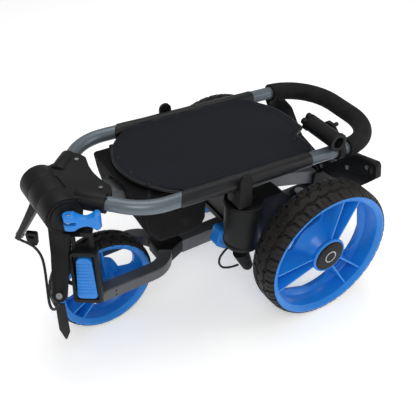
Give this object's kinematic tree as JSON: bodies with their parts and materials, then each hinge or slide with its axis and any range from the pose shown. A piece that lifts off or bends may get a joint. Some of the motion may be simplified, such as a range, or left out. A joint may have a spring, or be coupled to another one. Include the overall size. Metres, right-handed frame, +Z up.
{
  "type": "folding golf push cart",
  "caption": "Three-wheel golf push cart folded flat for storage: tubular handle loop, folding front fork and swing-out rear wheels.",
  "frame": {"origin": "middle of the folded cart's footprint, on the ground under the wheels", "axes": "+X runs from the fold barrel towards the foam grip, -Y is the side with the brake pedal and umbrella holder, +Z is up"},
  "size_m": [0.7074, 0.434, 0.355],
  "materials": {
    "tube_paint": "satin slate grey paint",
    "dark_paint": "satin dark grey paint",
    "black_plastic": "fine moulded grain",
    "blue_plastic": "glossy",
    "steel": "satin",
    "foam": "matte foam",
    "tyre_rubber": "matte, moulded tread",
    "boot_rubber": "satin",
    "panel_fabric": "coated woven cloth",
    "net": "open net",
    "cord_cover": "braided",
    "cable_cover": "smooth sleeve"
  },
  "bodies": {
    "frame": {"main_beam": "dark_paint", "hinge_core": "black_plastic", "leg_yoke": "black_plastic", "leg_pins": "steel", "tube_rests": "black_plastic", "front_hinge_block": "black_plastic", "front_hinge_pin": "steel", "lower_bag_bracket": "black_plastic", "bracket_screws": "steel", "brake_boot": "boot_rubber", "brake_cable": "cable_cover"},
    "loop": {"loop_tube": "tube_paint", "yoke": "black_plastic", "yoke_screws": "steel", "hinge_skewer": "steel", "hinge_cap_near": "black_plastic", "hinge_cap_far": "black_plastic", "foam_grip": "foam", "fabric_panel": "panel_fabric", "mesh_pouch": "net", "bag_arm_near": "black_plastic", "bag_arm_far": "black_plastic", "arm_bolts": "steel", "bungee_cord": "cord_cover", "bungee_hook": "black_plastic", "strap_tail": "boot_rubber", "catch_housing": "black_plastic", "holder_clamp": "black_plastic"},
    "cam": {"cam_lever": "blue_plastic"},
    "catch": {"catch_lever": "blue_plastic"},
    "socket": {"umbrella_socket": "black_plastic"},
    "knob": {"holder_knob": "black_plastic"},
    "pedal": {"brake_pedal": "blue_plastic"},
    "front_arm": {"front_arm": "dark_paint", "fork_crown": "black_plastic", "fork_leg_near": "dark_paint", "fork_leg_far": "dark_paint", "front_axle": "steel", "axle_nuts": "steel"},
    "front_wheel": {"front_rim": "blue_plastic", "front_tyre": "tyre_rubber", "front_bearings": "steel"},
    "leg_near": {"leg_near": "black_plastic"},
    "tie_near": {"leg_tie_near": "dark_paint"},
    "carrier_near": {"wheel_carrier_near": "black_plastic", "stub_axle_near": "steel", "carrier_pin_near": "steel"},
    "rear_wheel_near": {"rear_rim_near": "blue_plastic", "rear_tyre_near": "tyre_rubber", "hub_cap_near": "black_plastic", "hub_bearings_near": "steel"},
    "leg_far": {"leg_far": "black_plastic"},
    "tie_far": {"leg_tie_far": "dark_paint"},
    "carrier_far": {"wheel_carrier_far": "black_plastic", "stub_axle_far": "steel", "carrier_pin_far": "steel"},
    "rear_wheel_far": {"rear_rim_far": "blue_plastic", "rear_tyre_far": "tyre_rubber", "hub_cap_far": "black_plastic", "hub_bearings_far": "steel"}
  },
  "joints": [
    {"name": "loop_fold", "type": "hinge", "parent": "frame", "child": "loop", "pos_m": [-0.3, 0, 0.322], "axis": [0, -1, 0], "range_deg": [0, 160], "deforming": ["bungee_cord"]},
    {"name": "cam_lever_swing", "type": "hinge", "parent": "loop", "child": "cam", "pos_m": [-0.3, -0.072, 0.322], "axis": [0, 0, -1], "range_deg": [0, 120]},
    {"name": "catch_lever_tilt", "type": "hinge", "parent": "loop", "child": "catch", "pos_m": [-0.2888, -0.08514, 0.163], "axis": [0.829, -0.5592, 0], "range_deg": [0, 40], "stiffness_Nm_per_rad": 0.06},
    {"name": "holder_tilt", "type": "hinge", "parent": "loop", "child": "socket", "pos_m": [0.203, -0.088, 0.333], "axis": [-1, 0, 0], "range_deg": [0, 90]},
    {"name": "holder_knob_turn", "type": "hinge", "parent": "socket", "child": "knob", "pos_m": [0.203, -0.06, 0.333], "axis": [0, 1, 0], "continuous": true},
    {"name": "brake_pedal_press", "type": "hinge", "parent": "frame", "child": "pedal", "pos_m": [0.01, -0.06, 0.134], "axis": [0, -1, 0], "range_deg": [0, 20], "stiffness_Nm_per_rad": 0.8},
    {"name": "front_arm_fold", "type": "hinge", "parent": "frame", "child": "front_arm", "pos_m": [0.296, 0, 0.11], "axis": [0, -1, 0], "range_deg": [0, 164]},
    {"name": "front_wheel_spin", "type": "hinge", "parent": "front_arm", "child": "front_wheel", "pos_m": [-0.23, 0, 0.1005], "axis": [0, 1, 0], "continuous": true},
    {"name": "leg_near_swing", "type": "hinge", "parent": "frame", "child": "leg_near", "pos_m": [0.016, -0.11, 0.2], "axis": [0, 0, -1], "range_deg": [0, 65]},
    {"name": "tie_near_swing", "type": "hinge", "parent": "frame", "child": "tie_near", "pos_m": [0.034, -0.062, 0.14], "axis": [0, 0, -1], "range_deg": [0, 65]},
    {"name": "carrier_near_turn", "type": "hinge", "parent": "leg_near", "child": "carrier_near", "pos_m": [0.146, -0.11, 0.2], "axis": [0, 0, 1], "range_deg": [0, 65]},
    {"name": "rear_wheel_near_spin", "type": "hinge", "parent": "carrier_near", "child": "rear_wheel_near", "pos_m": [0.146, -0.1845, 0.14], "axis": [0, 1, 0], "continuous": true},
    {"name": "leg_far_swing", "type": "hinge", "parent": "frame", "child": "leg_far", "pos_m": [0.016, 0.11, 0.2], "axis": [0, 0, 1], "range_deg": [0, 65]},
    {"name": "tie_far_swing", "type": "hinge", "parent": "frame", "child": "tie_far", "pos_m": [0.034, 0.062, 0.14], "axis": [0, 0, 1], "range_deg": [0, 65]},
    {"name": "carrier_far_turn", "type": "hinge", "parent": "leg_far", "child": "carrier_far", "pos_m": [0.146, 0.11, 0.2], "axis": [0, 0, -1], "range_deg": [0, 65]},
    {"name": "rear_wheel_far_spin", "type": "hinge", "parent": "carrier_far", "child": "rear_wheel_far", "pos_m": [0.146, 0.1845, 0.14], "axis": [0, 1, 0], "continuous": true}
  ],
  "couplings": [
    {"joint": "tie_near_swing", "follows": "leg_near_swing", "ratio": 1},
    {"joint": "carrier_near_turn", "follows": "leg_near_swing", "ratio": 1},
    {"joint": "tie_far_swing", "follows": "leg_far_swing", "ratio": 1},
    {"joint": "carrier_far_turn", "follows": "leg_far_swing", "ratio": 1}
  ]
}
